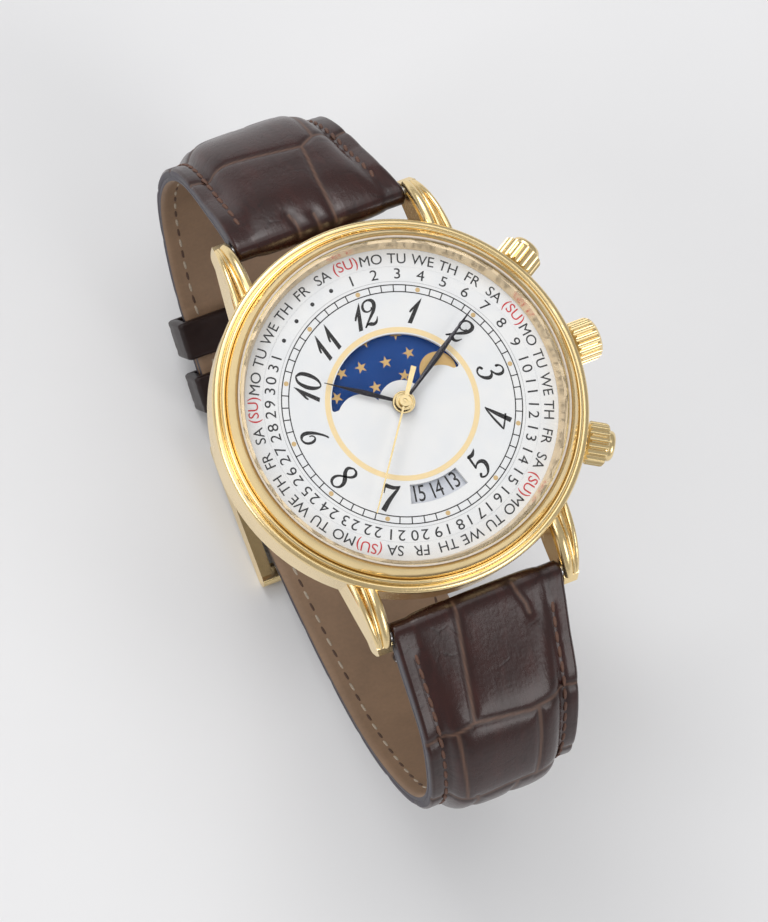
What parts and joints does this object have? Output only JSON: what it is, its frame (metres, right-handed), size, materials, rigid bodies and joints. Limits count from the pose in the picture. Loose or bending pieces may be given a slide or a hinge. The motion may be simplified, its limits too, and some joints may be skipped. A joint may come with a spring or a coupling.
{
  "type": "moon phase watch",
  "caption": "Round analogue wristwatch with moon phase window, date window, weekday ring, side crowns, forked lugs and a closed padded leather strap with pin buckle.",
  "frame": {"origin": "centre of the case back's outer face", "axes": "+Z out of the dial, +Y to 12 o'clock, +X to the 3 o'clock crown"},
  "size_m": [0.0394, 0.0721, 0.0484],
  "materials": {
    "gold_polished": "polished",
    "gold_satin": "satin",
    "crystal": "polished",
    "dial_silver": "satin",
    "hand_charcoal": "satin",
    "moon_blue": "satin",
    "date_silver": "satin",
    "steel": "brushed",
    "movement_brass": "satin",
    "copper": "polished",
    "circuit_green": "gloss",
    "movement_plastic": "matte",
    "magnet": "satin",
    "rubber_black": "matte",
    "leather_brown": "semi-gloss crocodile grain",
    "leather_keeper": "semi-gloss",
    "lining_beige": "matte"
  },
  "bodies": {
    "watch": {"case_middle": "gold_satin", "bezel": "gold_polished", "rehaut_ring": "gold_polished", "crystal": "crystal", "dial": "dial_silver", "case_back": "steel", "spring_bars": "steel", "buckle_bar": "steel", "crown_tubes": "steel", "battery": "steel", "battery_clamp": "steel", "bridge_screws": "steel", "stator": "steel", "coil_core": "steel", "quartz_can": "steel", "calendar_guard": "steel", "main_plate": "movement_brass", "train_bridge": "movement_brass", "motion_cover": "movement_brass", "coil_winding": "copper", "circuit_board": "circuit_green", "ring_mount": "movement_plastic", "crystal_gasket": "rubber_black", "back_gasket": "rubber_black", "stem_seals": "rubber_black", "strap_upper_leather": "leather_brown", "strap_lower_leather": "leather_brown", "fixed_keeper": "leather_keeper", "strap_upper_lining": "lining_beige", "strap_lower_lining": "lining_beige"},
    "hour": {"hour_wheel": "movement_brass", "hour_hand": "hand_charcoal", "hour_boss": "gold_polished"},
    "minute": {"centre_wheel": "movement_brass", "cannon_pinion": "movement_brass", "minute_hand": "hand_charcoal", "minute_boss": "gold_polished"},
    "seconds": {"seconds_wheel": "movement_brass", "seconds_hand": "gold_polished"},
    "third": {"third_wheel": "movement_brass"},
    "transfer": {"transfer_wheel": "movement_brass"},
    "step_rotor": {"rotor": "magnet"},
    "minute_works": {"minute_wheel": "movement_brass"},
    "moon": {"moon_disc": "moon_blue"},
    "date": {"date_ring": "date_silver"},
    "weekday": {"day_ring": "dial_silver"},
    "day_setter": {"day_crown": "gold_polished", "day_crown_cap": "gold_polished", "day_stem": "steel"},
    "moon_setter": {"moon_crown": "gold_polished", "moon_crown_cap": "gold_polished", "moon_stem": "steel"},
    "lever": {"setting_lever": "steel"},
    "main_stem": {"setting_crown": "gold_polished", "setting_stem": "steel"},
    "frame": {"buckle_frame": "gold_polished"},
    "tongue": {"buckle_tongue": "gold_polished"},
    "loop": {"free_keeper": "leather_keeper"}
  },
  "joints": [
    {"name": "seconds_spin", "type": "hinge", "parent": "watch", "child": "seconds", "pos_m": [0, 0, 0.0025], "axis": [0, 0, -1], "continuous": true},
    {"name": "minute_spin", "type": "hinge", "parent": "watch", "child": "minute", "pos_m": [0, 0, 0.0035], "axis": [0, 0, -1], "continuous": true},
    {"name": "hour_spin", "type": "hinge", "parent": "watch", "child": "hour", "pos_m": [0, 0, 0.0051], "axis": [0, 0, -1], "continuous": true},
    {"name": "third_spin", "type": "hinge", "parent": "watch", "child": "third", "pos_m": [-0.0039, 0.00225, 0.0032], "axis": [0, 0, -1], "continuous": true},
    {"name": "transfer_spin", "type": "hinge", "parent": "watch", "child": "transfer", "pos_m": [-0.00225, -0.0039, 0.0027], "axis": [0, 0, -1], "continuous": true},
    {"name": "rotor_spin", "type": "hinge", "parent": "watch", "child": "step_rotor", "pos_m": [-0.00089, -0.00626, 0.0027], "axis": [0, 0, -1], "continuous": true},
    {"name": "minute_works_spin", "type": "hinge", "parent": "watch", "child": "minute_works", "pos_m": [-0.00098, 0.00271, 0.0049], "axis": [0, 0, -1], "continuous": true},
    {"name": "moon_spin", "type": "hinge", "parent": "watch", "child": "moon", "pos_m": [0, 0, 0.0055], "axis": [0, 0, 1], "continuous": true},
    {"name": "date_spin", "type": "hinge", "parent": "watch", "child": "date", "pos_m": [0, 0, 0.0055], "axis": [0, 0, 1], "continuous": true},
    {"name": "weekday_spin", "type": "hinge", "parent": "watch", "child": "weekday", "pos_m": [0, 0, 0.0061], "axis": [0, 0, 1], "continuous": true},
    {"name": "day_crown_spin", "type": "hinge", "parent": "watch", "child": "day_setter", "pos_m": [0.01598, 0.00923, 0.0034], "axis": [0.866, 0.5, 0], "continuous": true},
    {"name": "moon_crown_spin", "type": "hinge", "parent": "watch", "child": "moon_setter", "pos_m": [0.01598, -0.00923, 0.0034], "axis": [0.866, -0.5, 0], "continuous": true},
    {"name": "crown_pull", "type": "slide", "parent": "watch", "child": "lever", "axis": [1, 0, 0], "range_m": [0, 0.0008]},
    {"name": "crown_spin", "type": "hinge", "parent": "lever", "child": "main_stem", "pos_m": [0.009, 0, 0.0034], "axis": [1, 0, 0], "continuous": true},
    {"name": "buckle_swing", "type": "hinge", "parent": "watch", "child": "frame", "pos_m": [0, 0.008, -0.037], "axis": [1, 0, 0], "range_deg": [0, 15]},
    {"name": "tongue_swing", "type": "hinge", "parent": "frame", "child": "tongue", "pos_m": [0, 0.008, -0.037], "axis": [1, 0, 0], "range_deg": [0, 12]},
    {"name": "keeper_slide", "type": "slide", "parent": "watch", "child": "loop", "axis": [0, -0.9397, -0.342], "range_m": [0, 0.0018]}
  ],
  "couplings": [
    {"joint": "transfer_spin", "follows": "seconds_spin", "ratio": -5},
    {"joint": "rotor_spin", "follows": "seconds_spin", "ratio": 30},
    {"joint": "third_spin", "follows": "seconds_spin", "ratio": -0.13333},
    {"joint": "minute_spin", "follows": "seconds_spin", "ratio": 0.016667},
    {"joint": "minute_works_spin", "follows": "seconds_spin", "ratio": -0.0055556},
    {"joint": "hour_spin", "follows": "seconds_spin", "ratio": 0.0013889},
    {"joint": "day_crown_spin", "follows": "weekday_spin", "ratio": -7.5},
    {"joint": "moon_crown_spin", "follows": "moon_spin", "ratio": -3.6667}
  ]
}
